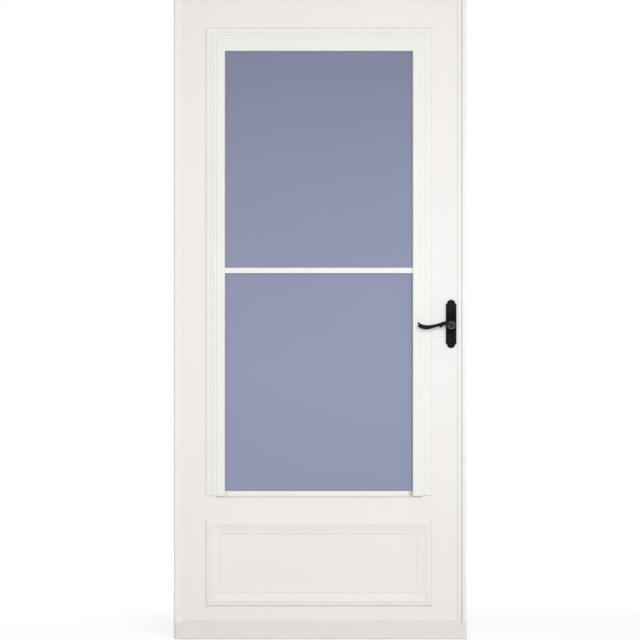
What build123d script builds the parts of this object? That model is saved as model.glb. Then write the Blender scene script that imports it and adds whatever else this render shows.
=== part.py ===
from build123d import *
from math import cos, radians, sin
import os

# A storm door in its frame, seen from outside with +X to the right and -Y towards the viewer.
# The origin is on the back of the hinge side flange, level with the foot of the frame.
# All sizes are in millimetres.

# Frame bars: a flange on the wall face, a leg into the opening and a lip behind the leaf
frame_left = -10.0
frame_right = 921.5
frame_top = 2058.0
wall = 2.0
flange_front = -wall
hinge_leg = 9.4
latch_leg = 910.5
nose_left = 909.5
nose_front = -7.0
lip_back = 31.0
lip_front = lip_back - wall
hinge_lip = 26.0
latch_lip = 895.5
head_leg = 2034.5
head_lip = 2020.5
drip_front = -16.0
drip_rise = 11.0
drip_wall = 1.6

# Installation screw holes in the legs of the bars
screw_radius = 2.3
screw_depth = 16.0
screw_heights = (150.0, 720.0, 1290.0, 1860.0)
screw_places = (200.0, 704.0)

# Pile strips on the lips
pile_front = 25.0
pile_width = 7.0
pile_inset = 1.0

# Leaf: slab, latch edge rail and the groove between them
slab_front = -12.0
slab_back = 20.0
slab_left = 16.0
slab_bottom = 20.0
slab_top = 2029.0
leaf_right = 903.5
rail_wall = 1.6
rail_lip = 8.2
rail_groove = 3.4
edge_ease = 1.8

# Full length hinge
hinge_x = -2.0
hinge_y = -7.0
hinge_bottom = 57.0
hinge_top = 2027.0
pin_radius = 1.5
knuckle_radius = 3.5
knuckle_count = 11
knuckle_gap = 0.8
leaf_wall = 1.2
cover_left = -3.5
running_gap = 0.06

# Window unit: mouldings on the slab, raised jambs and head, three glazing planes
window_x = 452.0
window_width = 720.0
trim_top = 1942.0
trim_width = 34.0
trim_overlap = 16.0
trim_foot = 456.0
land_height = 10.8
land_ease = 1.6
glass_width = 596.0
glass_top = 1866.5
glass_bottom = 469.6
meeting_top = 1179.0
rail_height = 17.5
sill_bottom = 450.9
sill_top = 454.4
sill_front = 3.0
groove_depth = 14.0
stile_width = 12.0
upper_plane = (-9.0, -1.0)
lower_plane = (1.0, 9.0)
screen_plane = (11.0, 16.0)
glass_thickness = 3.0
glass_bite = 6.0
bead_bevel = 1.6
screen_rail = 18.0
screen_bite = 4.0
screen_thickness = 0.6
land_bevel = 2.4
casing_depth = 4.0
casing_overlap = 12.0
casing_bevel = 1.5

# Finger latches at the ends of the lower sash
finger_latch = (13.0, 12.5, 3.0)
finger_slot = (1.4, 2.4)

# Raised lower panel
panel_bottom = 104.0
panel_top = 381.0
panel_border = 48.0

# Expander channel and its sweep
expander_top = 59.7
expander_end_top = 52.0
expander_bottom = 2.0
expander_wall = 1.8
expander_web = 10.0
bead_radius = 2.4
fin_width = 1.5
fin_root = 2.0
fin_places = (-6.0, 12.0)

# Lock in the latch edge
bolt_size = (23.5, 12.0, 20.0)
bolt_depth = 4.0
bolt_bevel = 7.0
face_size = (24.0, 60.0)
strike_wall = 1.2
strike_size = (26.0, 76.0)
strike_slot = (12.0, 32.0)
strike_depth = 14.0

# Lever set
spindle_x = 871.7
spindle_z = 996.2
spindle_radius = 4.0
spindle_bite = 12.0
spindle_pocket = 7.0
plate_width = 32.7
plate_z = 1000.5
plate_height = 153.4
plate_end_radius = 13.0
plate_depth = 7.0
plate_bevel = 2.0
rose_radius = 12.5
rose_depth = 4.0
lever_gap = 0.3
shank_radius = 8.5
arm_reach = 41.0
hub_radius = 12.3
hub_depth = 9.0
rim_bevel = 1.4
arm_sides = 8
turn_z = 1046.8
turn_radius = 8.0
turn_base = 3.0
turn_grip = 4.5
turn_depth = 12.0

window_left = window_x - window_width / 2
window_right = window_x + window_width / 2
glass_left = window_x - glass_width / 2
glass_right = window_x + glass_width / 2
hole_left = window_left + trim_overlap
hole_right = window_right - trim_overlap
hole_top = trim_top - trim_overlap
head_bottom = glass_top + rail_height
land_top = trim_top - trim_width
meeting_bottom = meeting_top - rail_height
stile_left = glass_left - stile_width
stile_right = glass_right + stile_width
slab_right = leaf_right - rail_wall
groove_left = leaf_right - rail_lip - rail_groove


def front_plane(y):
    """Upright plane at depth y, drawn in X and Z, whose outward side is -Y."""
    return Plane.XZ.offset(-y)


def face_plane(y, outward, x=0.0, z=0.0):
    """Upright plane on a face of the leaf that looks outward along Y, with +Z up on the outside."""
    return Plane(origin=(x, y, z), x_dir=(1, 0, 0), z_dir=(0, outward, 0))


def outline(points):
    """Fills the straight sided outline through the points, inside a sketch."""
    with BuildLine() as edge:
        Polyline(*points, close=True)
    make_face(edge.line)


def rectangle(across, up, mode=Mode.ADD):
    """Rectangle given by its two ends each way, inside a sketch."""
    with Locations(((across[0] + across[1]) / 2, (up[0] + up[1]) / 2)):
        Rectangle(across[1] - across[0], up[1] - up[0], mode=mode)


def about(centre, size):
    """The two ends of a length centred on a value."""
    return (centre - size / 2, centre + size / 2)


def save(builder, name):
    """Labels a finished piece and writes it."""
    builder.part.label = name
    export_step(builder.part, f"parts/{name}.step")


os.makedirs("parts", exist_ok=True)

# Hinge side frame bar
with BuildPart() as hinge_z_bar:
    with BuildSketch(Plane.XY):
        outline([
            (frame_left, flange_front), (hinge_leg, flange_front), (hinge_leg, lip_front),
            (hinge_lip, lip_front), (hinge_lip, lip_back), (hinge_leg - wall, lip_back),
            (hinge_leg - wall, 0), (frame_left, 0),
        ])
    extrude(amount=head_leg)
    with BuildSketch(Plane.YZ.offset(hinge_leg - wall)):
        with Locations([(screw_depth, z) for z in screw_heights]):
            Circle(screw_radius)
    extrude(amount=wall, mode=Mode.SUBTRACT)
save(hinge_z_bar, "hinge_z_bar")

# Latch side frame bar, with a nose that stands out beside the leaf
with BuildPart() as latch_z_bar:
    with BuildSketch(Plane.XY):
        outline([
            (frame_right, flange_front), (latch_leg + wall, flange_front), (latch_leg + wall, nose_front),
            (nose_left, nose_front), (nose_left, flange_front), (latch_leg, flange_front),
            (latch_leg, lip_front), (latch_lip, lip_front), (latch_lip, lip_back),
            (latch_leg + wall, lip_back), (latch_leg + wall, 0), (frame_right, 0),
        ])
    extrude(amount=head_leg)
    with BuildSketch(Plane.YZ.offset(latch_leg)):
        with Locations([(screw_depth, z) for z in screw_heights]):
            Circle(screw_radius)
    extrude(amount=wall, mode=Mode.SUBTRACT)
save(latch_z_bar, "latch_z_bar")

# Head bar: its flange carries a sloping drip nose, and its leg closes the space over the leaf
with BuildPart() as header_z_bar:
    with BuildSketch(Plane.YZ.offset(frame_left)):
        outline([
            (0, head_leg), (0, frame_top), (flange_front, frame_top),
            (flange_front, head_leg + drip_rise), (drip_front, head_leg + 2 * drip_wall),
            (drip_front, head_leg), (drip_front + drip_wall, head_leg),
            (drip_front + drip_wall, head_leg + drip_wall),
            (flange_front, head_leg + drip_rise - 2 * drip_wall), (flange_front, head_leg),
        ])
    extrude(amount=frame_right - frame_left)
    with BuildSketch(Plane.YZ.offset(hinge_leg)):
        rectangle((0, lip_back), (head_leg, head_leg + wall))
    extrude(amount=latch_leg - hinge_leg)
    with BuildSketch(Plane.YZ.offset(hinge_lip)):
        rectangle((lip_front, lip_back), (head_lip, head_leg))
    extrude(amount=latch_lip - hinge_lip)
    with BuildSketch(Plane.XY.offset(head_leg)):
        with Locations([(x, screw_depth) for x in screw_places]):
            Circle(screw_radius)
    extrude(amount=wall, mode=Mode.SUBTRACT)
save(header_z_bar, "header_z_bar")


def pile_strip(section_plane, across, up, length):
    """Strip of pile on the front of a lip."""
    with BuildPart() as strip:
        with BuildSketch(section_plane):
            rectangle(across, up)
        extrude(amount=length)
    return strip


pile_y = (pile_front, lip_front)
hinge_weatherstrip = pile_strip(
    Plane.XY, (hinge_lip - pile_inset - pile_width, hinge_lip - pile_inset), pile_y, head_leg
)
save(hinge_weatherstrip, "hinge_weatherstrip")
latch_weatherstrip = pile_strip(
    Plane.XY, (latch_lip + pile_inset, latch_lip + pile_inset + pile_width), pile_y, head_leg
)
save(latch_weatherstrip, "latch_weatherstrip")
header_weatherstrip = pile_strip(
    Plane.YZ.offset(hinge_lip), pile_y, (head_lip + pile_inset, head_lip + pile_inset + pile_width),
    latch_lip - hinge_lip,
)
save(header_weatherstrip, "header_weatherstrip")

# Hinge knuckles take turns between the frame's leaf and the door's leaf, which covers them in front
knuckle_pitch = (hinge_top - hinge_bottom) / knuckle_count
foot_front = flange_front - leaf_wall
barrel_left = hinge_x - knuckle_radius
strip_back = slab_front + leaf_wall

with BuildPart() as frame_hinge_leaf:
    with BuildSketch(Plane.XY.offset(hinge_bottom)):
        rectangle((barrel_left, hinge_leg), (foot_front, flange_front))
    extrude(amount=hinge_top - hinge_bottom)
    for i in range(0, knuckle_count, 2):
        with BuildSketch(Plane.XY.offset(hinge_bottom + knuckle_pitch * i)):
            with Locations((hinge_x, hinge_y)):
                Circle(knuckle_radius)
            rectangle((barrel_left, barrel_left + leaf_wall), (hinge_y, foot_front))
            with Locations((hinge_x, hinge_y)):
                Circle(pin_radius, mode=Mode.SUBTRACT)
        extrude(amount=knuckle_pitch - knuckle_gap)
save(frame_hinge_leaf, "frame_hinge_leaf")

with BuildPart() as door_hinge_leaf:
    with BuildSketch(Plane.XY.offset(expander_end_top)):
        outline([
            (cover_left, slab_front), (slab_left, slab_front), (slab_left, slab_back - wall),
            (slab_left - leaf_wall, slab_back - wall), (slab_left - leaf_wall, strip_back),
            (cover_left, strip_back),
        ])
    extrude(amount=hinge_top - expander_end_top)
    for i in range(1, knuckle_count, 2):
        with BuildSketch(Plane.XY.offset(hinge_bottom + knuckle_pitch * i)):
            with Locations((hinge_x, hinge_y)):
                Circle(knuckle_radius)
            rectangle((hinge_x, hinge_x + knuckle_radius), (strip_back, hinge_y))
            with Locations((hinge_x, hinge_y)):
                Circle(pin_radius + running_gap, mode=Mode.SUBTRACT)
        extrude(amount=knuckle_pitch - knuckle_gap)
save(door_hinge_leaf, "door_hinge_leaf")

with BuildPart() as hinge_pin:
    with BuildSketch(Plane.XY.offset(hinge_bottom)):
        with Locations((hinge_x, hinge_y)):
            Circle(pin_radius)
    extrude(amount=hinge_top - hinge_bottom - knuckle_gap)
save(hinge_pin, "hinge_pin")

# Slab, rebated at the latch edge for its rail, with the window hole and the lock pocket
bolt_y = (bolt_depth - bolt_size[1] / 2, bolt_depth + bolt_size[1] / 2)
bolt_z = about(spindle_z, bolt_size[2])
bolt_back = leaf_right - bolt_size[0]
with BuildPart() as door_slab:
    with BuildSketch(Plane.XY.offset(slab_bottom)):
        outline([
            (slab_left, slab_front), (groove_left - edge_ease, slab_front),
            (groove_left, slab_front + edge_ease), (groove_left, slab_front + rail_wall),
            (slab_right, slab_front + rail_wall), (slab_right, slab_back - rail_wall),
            (groove_left, slab_back - rail_wall), (groove_left, slab_back - edge_ease),
            (groove_left - edge_ease, slab_back), (slab_left, slab_back),
        ])
    extrude(amount=slab_top - slab_bottom)
    with BuildSketch(front_plane(slab_back)):
        rectangle((hole_left, hole_right), (sill_bottom, hole_top))
        with Locations((spindle_x, spindle_z)):
            Circle(spindle_pocket)
    extrude(amount=slab_back - slab_front, mode=Mode.SUBTRACT)
    with BuildSketch(Plane.YZ.offset(bolt_back)):
        rectangle(bolt_y, bolt_z)
    extrude(amount=slab_right - bolt_back, mode=Mode.SUBTRACT)
save(door_slab, "door_slab")

face_y = about(bolt_depth, face_size[0])
face_z = about(spindle_z, face_size[1])
with BuildPart() as latch_edge_rail:
    with BuildSketch(Plane.XY.offset(slab_bottom)):
        outline([
            (leaf_right - rail_lip, slab_front), (leaf_right, slab_front),
            (leaf_right, slab_back), (leaf_right - rail_lip, slab_back),
            (leaf_right - rail_lip, slab_back - rail_wall), (slab_right, slab_back - rail_wall),
            (slab_right, slab_front + rail_wall), (leaf_right - rail_lip, slab_front + rail_wall),
        ])
    extrude(amount=slab_top - slab_bottom)
    with BuildSketch(Plane.YZ.offset(slab_right)):
        rectangle(face_y, face_z)
    extrude(amount=rail_wall, mode=Mode.SUBTRACT)
save(latch_edge_rail, "latch_edge_rail")


def trim_section(place):
    """Moulding that climbs in rounded steps; u runs from its outer edge inwards, h out from the face."""
    with BuildLine() as edge:
        Line(place(0, 0), place(0, 0.8))
        ThreePointArc(place(0, 0.8), place(3.7, 4), place(8.5, 5.2))
        Line(place(8.5, 5.2), place(15.5, 5.4))
        ThreePointArc(place(15.5, 5.4), place(17.5, 6.85), place(20, 7.4))
        Line(place(20, 7.4), place(24, 7.4))
        ThreePointArc(place(24, 7.4), place(25.8, 8.55), place(28, 9))
        Polyline(place(28, 9), place(trim_width, 9), place(trim_width, 0), place(0, 0))
    make_face(edge.line)


def side_trim(outer, inward):
    """Upright moulding on one side of the window, mitred at its top."""
    with BuildPart() as stick:
        with BuildSketch(Plane.XY.offset(trim_foot)):
            trim_section(lambda u, h: (outer + inward * u, slab_front - h))
        extrude(amount=trim_top - trim_foot)
        split(bisect_by=Plane(origin=(outer, 0, trim_top), z_dir=(-inward, 0, -1)), keep=Keep.TOP)
    return stick


window_trim_left = side_trim(window_left, 1)
save(window_trim_left, "window_trim_left")
window_trim_right = side_trim(window_right, -1)
save(window_trim_right, "window_trim_right")

with BuildPart() as window_trim_top:
    with BuildSketch(Plane.YZ.offset(window_left)):
        trim_section(lambda u, h: (slab_front - h, trim_top - u))
    extrude(amount=window_width)
    split(bisect_by=Plane(origin=(window_left, 0, trim_top), z_dir=(1, 0, 1)), keep=Keep.TOP)
    split(bisect_by=Plane(origin=(window_right, 0, trim_top), z_dir=(-1, 0, 1)), keep=Keep.TOP)
save(window_trim_top, "window_trim_top")

# Jambs: a body in the slab's hole, a raised land beside the moulding, and the sash grooves
land_front = slab_front - land_height


def side_track(hole, glass, inward):
    """Jamb channel with a groove for each sash and for the screen."""
    land_edge = hole + inward * (trim_width - trim_overlap)
    with BuildPart() as track:
        with BuildSketch(Plane.XY.offset(sill_top)):
            outline([
                (hole, slab_back), (hole, slab_front), (land_edge, slab_front),
                (land_edge, land_front + land_ease), (land_edge + inward * land_ease, land_front),
                (glass - inward * land_bevel, land_front), (glass, land_front + land_bevel),
                (glass, slab_back),
            ])
            for plane in (upper_plane, lower_plane, screen_plane):
                rectangle(sorted((glass - inward * groove_depth, glass)), plane, mode=Mode.SUBTRACT)
        extrude(amount=hole_top - sill_top)
        with BuildSketch(Plane.XY.offset(land_top)):
            rectangle(sorted((hole, glass)), (land_front, slab_front))
        extrude(amount=trim_width, mode=Mode.SUBTRACT)
        with BuildSketch(Plane.XY.offset(glass_top)):
            outline([
                (glass - inward * land_bevel, land_front), (glass, land_front),
                (glass, land_front + land_bevel),
            ])
        extrude(amount=land_top - glass_top)
        chamfer(track.faces().sort_by(Axis.Y)[0].edges().sort_by(Axis.Z)[-1], length=land_ease)
    return track


left_track = side_track(hole_left, glass_left, 1)
save(left_track, "left_track")
right_track = side_track(hole_right, glass_right, -1)
save(right_track, "right_track")

with BuildPart() as window_head:
    with BuildSketch(Plane.YZ.offset(glass_left)):
        outline([
            (slab_back, head_bottom), (slab_back, hole_top), (slab_front, hole_top), (slab_front, land_top),
            (land_front + land_ease, land_top), (land_front, land_top - land_ease),
            (land_front, glass_top + land_bevel), (land_front + land_bevel, glass_top),
            (upper_plane[0], glass_top), (upper_plane[0], head_bottom),
        ])
    extrude(amount=glass_width)
save(window_head, "window_head")

# Sill with a drain gap under the sash, between the jambs
with BuildPart() as window_sill:
    with BuildSketch(Plane.YZ.offset(hole_left)):
        rectangle((slab_front, slab_back), (sill_bottom, sill_top))
    extrude(amount=hole_right - hole_left)
    with BuildSketch(Plane.YZ.offset(glass_left)):
        rectangle((slab_front, sill_front), (sill_bottom, sill_top))
    extrude(amount=glass_width, mode=Mode.SUBTRACT)
save(window_sill, "window_sill")


def slot_sketch(opening_x, opening_z, bite):
    """Opening grown by the pane's bite into its frame, inside a sketch."""
    rectangle(
        (opening_x[0] - bite, opening_x[1] + bite), (opening_z[0] - bite, opening_z[1] + bite)
    )


def sash_frame(z_range, opening_x, opening_z, depth, pane_bite, pane_thickness):
    """Frame of four rails with a bevelled bead round the pane, and the groove that holds it."""
    with BuildPart() as sash:
        with BuildSketch(front_plane(depth[1])):
            rectangle((stile_left, stile_right), z_range)
            rectangle(opening_x, opening_z, mode=Mode.SUBTRACT)
        extrude(amount=depth[1] - depth[0])
        front = sash.faces().sort_by(Axis.Y)[0]
        chamfer(front.inner_wires()[0].edges(), length=bead_bevel)
        with BuildSketch(front_plane(sum(depth) / 2 + pane_thickness / 2)):
            slot_sketch(opening_x, opening_z, pane_bite)
        extrude(amount=pane_thickness, mode=Mode.SUBTRACT)
    return sash


def pane(opening_x, opening_z, depth, pane_bite, pane_thickness):
    """Flat sheet that fills an opening and the groove round it."""
    with BuildPart() as sheet:
        with BuildSketch(front_plane(sum(depth) / 2 + pane_thickness / 2)):
            slot_sketch(opening_x, opening_z, pane_bite)
        extrude(amount=pane_thickness)
    return sheet


glass_x = (glass_left, glass_right)
upper_z = (meeting_top, glass_top)
lower_z = (glass_bottom, meeting_bottom)
screen_x = (stile_left + screen_rail, stile_right - screen_rail)
screen_z = (sill_top + screen_rail, meeting_top - screen_rail)

upper_sash = sash_frame(
    (meeting_bottom, head_bottom), glass_x, upper_z, upper_plane, glass_bite, glass_thickness
)
save(upper_sash, "upper_sash")
upper_glass = pane(glass_x, upper_z, upper_plane, glass_bite, glass_thickness)
save(upper_glass, "upper_glass")
lower_sash = sash_frame((sill_top, meeting_top), glass_x, lower_z, lower_plane, glass_bite, glass_thickness)
save(lower_sash, "lower_sash")
lower_glass = pane(glass_x, lower_z, lower_plane, glass_bite, glass_thickness)
save(lower_glass, "lower_glass")
screen_frame = sash_frame(
    (sill_top, meeting_top), screen_x, screen_z, screen_plane, screen_bite, screen_thickness
)
save(screen_frame, "screen_frame")
insect_screen = pane(screen_x, screen_z, screen_plane, screen_bite, screen_thickness)
save(insect_screen, "insect_screen")

# Finger latches on the foot rail of the lower sash, each with two grip slots
latch_width, latch_height, latch_depth = finger_latch
latch_foot = sill_top + 2.0
with BuildPart() as sash_latches:
    for left in (glass_left, glass_right - latch_width):
        with BuildSketch(Plane.YZ.offset(left)):
            rectangle((lower_plane[0] - latch_depth, lower_plane[0]), (latch_foot, latch_foot + latch_height))
            for step in (1, 2):
                slot_z = latch_foot + latch_height * step / 3
                rectangle(
                    (lower_plane[0] - latch_depth, lower_plane[0] - latch_depth + finger_slot[0]),
                    about(slot_z, finger_slot[1]), mode=Mode.SUBTRACT,
                )
        extrude(amount=latch_width)
save(sash_latches, "sash_latches")

# Casing round the window on the inner face
with BuildPart() as inside_casing:
    with BuildSketch(front_plane(slab_back + casing_depth)):
        rectangle(
            (hole_left - casing_overlap, hole_right + casing_overlap),
            (sill_bottom - casing_overlap, hole_top + casing_overlap),
        )
        rectangle(glass_x, (sill_top + screen_rail, head_bottom), mode=Mode.SUBTRACT)
    extrude(amount=casing_depth)
    chamfer(inside_casing.faces().sort_by(Axis.Y)[-1].edges(), length=casing_bevel)
save(inside_casing, "inside_casing")


def panel_section(place):
    """Raised panel border: a high outer roll, a long fall towards the field and an inner bead."""
    with BuildLine() as edge:
        Line(place(0, 0), place(0, 1))
        ThreePointArc(place(0, 1), place(2.9, 4.75), place(7.5, 6.2))
        Line(place(7.5, 6.2), place(12.5, 6.4))
        ThreePointArc(place(12.5, 6.4), place(14.5, 7.7), place(17, 8.2))
        ThreePointArc(place(17, 8.2), place(30, 4.2), place(42.5, 2))
        ThreePointArc(place(42.5, 2), place(45, 3.6), place(47.2, 1.2))
        Polyline(place(47.2, 1.2), place(panel_border, 0), place(0, 0))
    make_face(edge.line)


def panel_moulding(face, outward):
    """Closed moulding round the lower panel, mitred at its corners."""
    with BuildPart() as moulding:
        with BuildLine(front_plane(face)) as route:
            Polyline(
                (window_x, panel_bottom), (window_right, panel_bottom), (window_right, panel_top),
                (window_left, panel_top), (window_left, panel_bottom), (window_x, panel_bottom),
            )
        with BuildSketch(Plane.YZ.offset(window_x)):
            panel_section(lambda u, h: (face + outward * h, panel_bottom + u))
        sweep(path=route.line, transition=Transition.RIGHT)
    return moulding


outside_panel = panel_moulding(slab_front, -1)
save(outside_panel, "outside_panel")
inside_panel = panel_moulding(slab_back, 1)
save(inside_panel, "inside_panel")

# Channel round the foot of the slab; its front reaches across both side bars
with BuildPart() as bottom_expander:
    with BuildSketch(front_plane(slab_front)):
        outline([
            (cover_left, expander_bottom), (frame_right, expander_bottom),
            (frame_right, expander_end_top), (leaf_right, expander_end_top),
            (leaf_right, expander_top), (slab_left, expander_top),
            (slab_left, expander_end_top), (cover_left, expander_end_top),
        ])
    extrude(amount=expander_wall)
    with BuildSketch(Plane.YZ.offset(slab_left)):
        outline([
            (slab_front, expander_web), (slab_back + expander_wall, expander_web),
            (slab_back + expander_wall, expander_top), (slab_back, expander_top),
            (slab_back, expander_web + expander_wall), (slab_front, expander_web + expander_wall),
        ])
    extrude(amount=leaf_right - slab_left)
    with BuildSketch(Plane.YZ.offset(cover_left)):
        with Locations((slab_front - expander_wall, expander_bottom + bead_radius)):
            Circle(bead_radius)
    extrude(amount=frame_right - cover_left)
save(bottom_expander, "bottom_expander")

with BuildPart() as bottom_sweep:
    with BuildSketch(Plane.YZ.offset(slab_left)):
        for y in fin_places:
            rectangle((y, y + fin_width), (0, expander_web))
        rectangle((fin_places[0], fin_places[-1] + fin_width), (expander_web - fin_root, expander_web))
    extrude(amount=leaf_right - slab_left)
save(bottom_sweep, "bottom_sweep")

# Lock: face plate and spring bolt in the latch edge, strike on the frame
with BuildPart() as latch_faceplate:
    with BuildSketch(Plane.YZ.offset(slab_right)):
        rectangle(face_y, face_z)
        rectangle(bolt_y, bolt_z, mode=Mode.SUBTRACT)
    extrude(amount=rail_wall)
save(latch_faceplate, "latch_faceplate")

with BuildPart() as latch_bolt:
    with BuildSketch(Plane.XY.offset(bolt_z[0])):
        outline([
            (bolt_back, bolt_y[0]), (leaf_right - bolt_bevel, bolt_y[0]),
            (leaf_right, bolt_y[1] - bolt_bevel / 2), (leaf_right, bolt_y[1]), (bolt_back, bolt_y[1]),
        ])
    extrude(amount=bolt_size[2])
save(latch_bolt, "latch_bolt")

with BuildPart() as strike_plate:
    with BuildSketch(Plane.YZ.offset(latch_leg - strike_wall)):
        rectangle(about(strike_depth, strike_size[0]), about(spindle_z, strike_size[1]))
        rectangle(about(strike_depth, strike_slot[0]), about(spindle_z, strike_slot[1]), mode=Mode.SUBTRACT)
    extrude(amount=strike_wall)
save(strike_plate, "strike_plate")


def escutcheon(face, outward):
    """Plate with sloped shoulders, arched ends and a round rose for the spindle."""
    half = plate_width / 2
    end = plate_height / 2 - plate_end_radius
    shoulder = end - (half - plate_end_radius)
    with BuildPart() as plate:
        with BuildSketch(face_plane(face, outward, spindle_x, plate_z)):
            with BuildLine():
                for side in (1, -1):
                    Polyline(
                        (side * plate_end_radius, -end), (side * half, -shoulder),
                        (side * half, shoulder), (side * plate_end_radius, end),
                    )
                    ThreePointArc(
                        (plate_end_radius, side * end), (0, side * plate_height / 2),
                        (-plate_end_radius, side * end),
                    )
            make_face()
        extrude(amount=plate_depth)
        chamfer(plate.faces().sort_by(Axis.Y)[0 if outward < 0 else -1].edges(), length=plate_bevel)
        with BuildSketch(face_plane(face, outward, spindle_x, spindle_z)):
            Circle(rose_radius)
        extrude(amount=plate_depth + rose_depth)
        with BuildSketch(face_plane(face, outward, spindle_x, spindle_z)):
            Circle(spindle_radius + running_gap)
        extrude(amount=plate_depth + rose_depth, mode=Mode.SUBTRACT)
    return plate


outside_escutcheon = escutcheon(slab_front, -1)
save(outside_escutcheon, "outside_escutcheon")
inside_escutcheon = escutcheon(slab_back, 1)
save(inside_escutcheon, "inside_escutcheon")

# Night lock turn on the inner plate: a round boss and a flat grip
with BuildPart() as lock_turn:
    with BuildSketch(face_plane(slab_back + plate_depth, 1, spindle_x, turn_z)):
        Circle(turn_radius)
    extrude(amount=turn_base)
    with BuildSketch(face_plane(slab_back + plate_depth, 1, spindle_x, turn_z)):
        Rectangle(2 * turn_radius - turn_base, turn_grip)
    extrude(amount=turn_depth)
save(lock_turn, "lock_turn")

# Wave lever, as sections across its arm: place from the spindle, then half height and half depth
arm_sections = [
    (-2.0, 1.5, 9.8, 4.6),
    (-15.0, 6.0, 7.4, 5.3),
    (-29.0, 4.3, 5.6, 5.4),
    (-42.0, 0.2, 4.4, 5.2),
    (-57.0, -3.8, 4.3, 5.0),
    (-74.0, -6.9, 5.7, 4.7),
    (-87.0, -6.0, 6.3, 4.4),
    (-96.0, -2.4, 5.4, 4.0),
    (-101.5, 2.0, 3.8, 3.4),
    (-104.0, 6.0, 1.8, 2.4),
]


def lever(face, outward):
    """Lever with a round shank that turns on the rose, a dished hub and a waving arm."""
    base = face + outward * (plate_depth + rose_depth + lever_gap)
    middle = face + outward * arm_reach
    with BuildPart() as handle:
        with BuildSketch(face_plane(base, outward, spindle_x, spindle_z)):
            Circle(shank_radius)
        extrude(amount=abs(middle - base))
        hub_back = middle - outward * hub_depth / 2
        with BuildSketch(face_plane(hub_back, outward, spindle_x, spindle_z)):
            Circle(hub_radius)
        extrude(amount=hub_depth)
        rim = handle.faces().sort_by(Axis.Y)[0 if outward < 0 else -1]
        chamfer(rim.edges(), length=rim_bevel)
        for index, (x, z, half_height, half_depth) in enumerate(arm_sections):
            before = arm_sections[max(index - 1, 0)]
            after = arm_sections[min(index + 1, len(arm_sections) - 1)]
            heading = Vector(after[0] - before[0], 0, after[1] - before[1])
            place = Plane(
                origin=(spindle_x + x, middle, spindle_z + z), x_dir=(0, 1, 0), z_dir=heading
            )
            with BuildSketch(place):
                outline([
                    (half_depth * cos(radians(turn)), half_height * sin(radians(turn)))
                    for turn in range(0, 360, 360 // arm_sides)
                ])
        loft(ruled=True)
        with BuildSketch(face_plane(base, outward, spindle_x, spindle_z)):
            Circle(spindle_radius)
        extrude(amount=spindle_bite, mode=Mode.SUBTRACT)
    return handle


outside_lever = lever(slab_front, -1)
save(outside_lever, "outside_lever")
inside_lever = lever(slab_back, 1)
save(inside_lever, "inside_lever")

spindle_reach = plate_depth + rose_depth + lever_gap + spindle_bite
with BuildPart() as spindle:
    with BuildSketch(front_plane(slab_back + spindle_reach)):
        with Locations((spindle_x, spindle_z)):
            Circle(spindle_radius)
    extrude(amount=slab_back - slab_front + 2 * spindle_reach)
save(spindle, "spindle")
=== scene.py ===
from math import atan2, pi, radians
import bpy
from bpy.props import FloatProperty, FloatVectorProperty, IntProperty, PointerProperty
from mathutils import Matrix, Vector


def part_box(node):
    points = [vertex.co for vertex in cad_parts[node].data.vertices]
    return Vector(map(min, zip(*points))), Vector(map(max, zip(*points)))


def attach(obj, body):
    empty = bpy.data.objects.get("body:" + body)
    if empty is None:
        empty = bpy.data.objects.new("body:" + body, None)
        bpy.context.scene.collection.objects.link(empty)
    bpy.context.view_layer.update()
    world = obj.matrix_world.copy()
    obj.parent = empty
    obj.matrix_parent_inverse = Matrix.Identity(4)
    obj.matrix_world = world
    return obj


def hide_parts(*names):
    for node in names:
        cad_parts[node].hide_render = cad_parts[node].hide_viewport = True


bl_info = {
    "name": "Storm door",
    "version": (1, 0, 0),
    "blender": (4, 5, 0),
    "location": "View3D > Sidebar > Storm door",
    "description": "Dresses a storm door: finishes, hinge, levers, plates, seals, trim, screws and a stage",
    "category": "Object",
}

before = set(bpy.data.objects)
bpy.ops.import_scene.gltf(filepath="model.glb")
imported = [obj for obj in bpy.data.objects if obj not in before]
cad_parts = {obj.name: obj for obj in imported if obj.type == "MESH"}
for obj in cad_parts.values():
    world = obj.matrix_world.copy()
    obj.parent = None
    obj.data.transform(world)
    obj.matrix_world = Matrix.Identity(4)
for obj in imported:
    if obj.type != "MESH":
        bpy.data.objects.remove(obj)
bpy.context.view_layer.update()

MM = 0.001
OUT = Vector((0, -1, 0))
IN = Vector((0, 1, 0))

# Places and sizes read from the frame
spindle_low, spindle_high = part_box("spindle")
SPINDLE_X = (spindle_low.x + spindle_high.x) / 2
SPINDLE_Z = (spindle_low.z + spindle_high.z) / 2
pin_low, pin_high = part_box("hinge_pin")
HINGE_X = (pin_low.x + pin_high.x) / 2
HINGE_Y = (pin_low.y + pin_high.y) / 2
slab_low, slab_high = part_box("door_slab")
LEAF_MIDDLE = (slab_low.y + slab_high.y) / 2

# Which finish each piece of the frame takes
FINISH_OF = {
    "skin": ("door_slab", "outside_panel", "inside_panel"),
    "vinyl_upright": (
        "window_trim_left", "window_trim_right", "left_track", "right_track", "inside_casing",
        "sash_latches",
    ),
    "vinyl_level": ("window_trim_top", "window_head", "window_sill"),
    "enamel_upright": ("latch_z_bar", "latch_edge_rail", "door_hinge_leaf"),
    # The hinge bars take a lighter enamel: painted light that lifts the shade beside the hinge cover.
    "enamel_shade_lifted": ("hinge_z_bar", "frame_hinge_leaf"),
    "enamel_level": ("header_z_bar", "upper_sash", "lower_sash", "screen_frame"),
    "kick": ("bottom_expander",),
    "glass": ("upper_glass", "lower_glass"),
    "mesh": ("insect_screen",),
    "bronze": ("outside_escutcheon", "inside_escutcheon", "lock_turn", "outside_lever", "inside_lever"),
    "zinc": ("hinge_pin", "strike_plate", "latch_faceplate", "latch_bolt", "spindle"),
    "pile": ("hinge_weatherstrip", "latch_weatherstrip", "header_weatherstrip"),
    "sweep": ("bottom_sweep",),
}

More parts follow.
